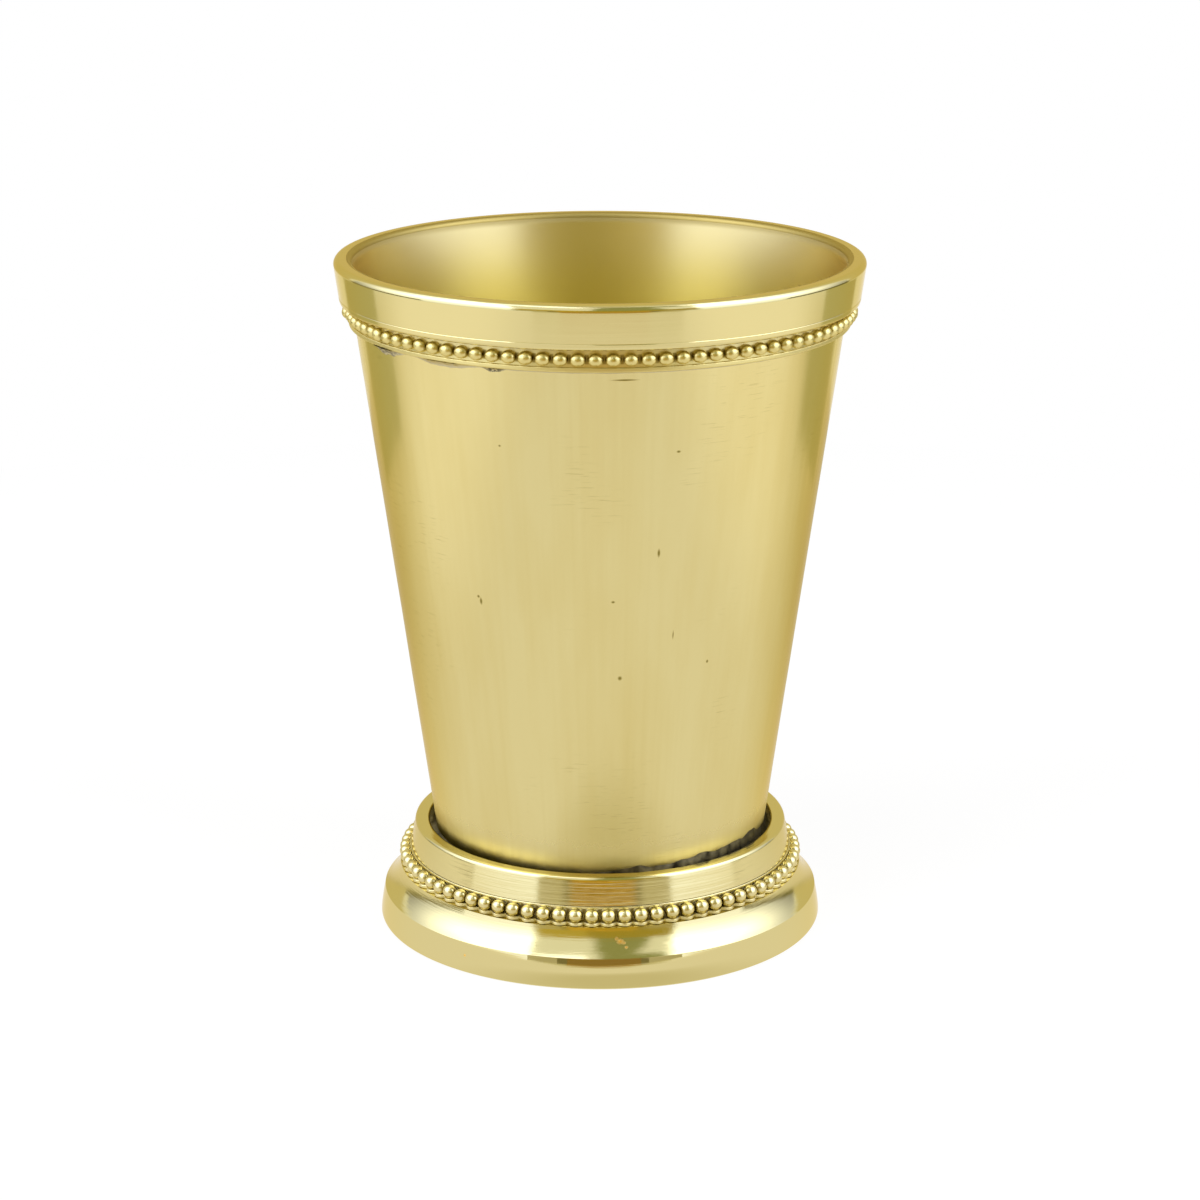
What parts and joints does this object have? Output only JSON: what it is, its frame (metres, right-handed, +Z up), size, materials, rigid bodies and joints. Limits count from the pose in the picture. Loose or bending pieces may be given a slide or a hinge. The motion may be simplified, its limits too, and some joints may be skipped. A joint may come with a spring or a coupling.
{
  "type": "julep cup",
  "caption": "Tapered brass julep cup with a plain rim band, beaded wire under the rim and on the foot, and a flared hollow foot ring.",
  "frame": {"origin": "centre of the ring that the foot stands on, on the table's plane", "axes": "+Z up along the cup's axis, from the foot to the mouth; the beads begin on +X"},
  "size_m": [0.0826, 0.0826, 0.108],
  "materials": {
    "cup_brass": "satin polish",
    "moulding_brass": "polish with lathe lines",
    "bead_brass": "polish, dark in the recesses",
    "solder": "dull, as it flowed"
  },
  "bodies": {
    "root": {"cup_wall": "cup_brass", "cup_floor": "cup_brass", "floor_solder": "solder", "rim_band": "moulding_brass", "rim_beading": "bead_brass", "rim_solder": "solder", "foot_base": "moulding_brass", "foot_collar": "moulding_brass", "foot_beading": "bead_brass", "foot_solder": "solder"}
  },
  "joints": []
}
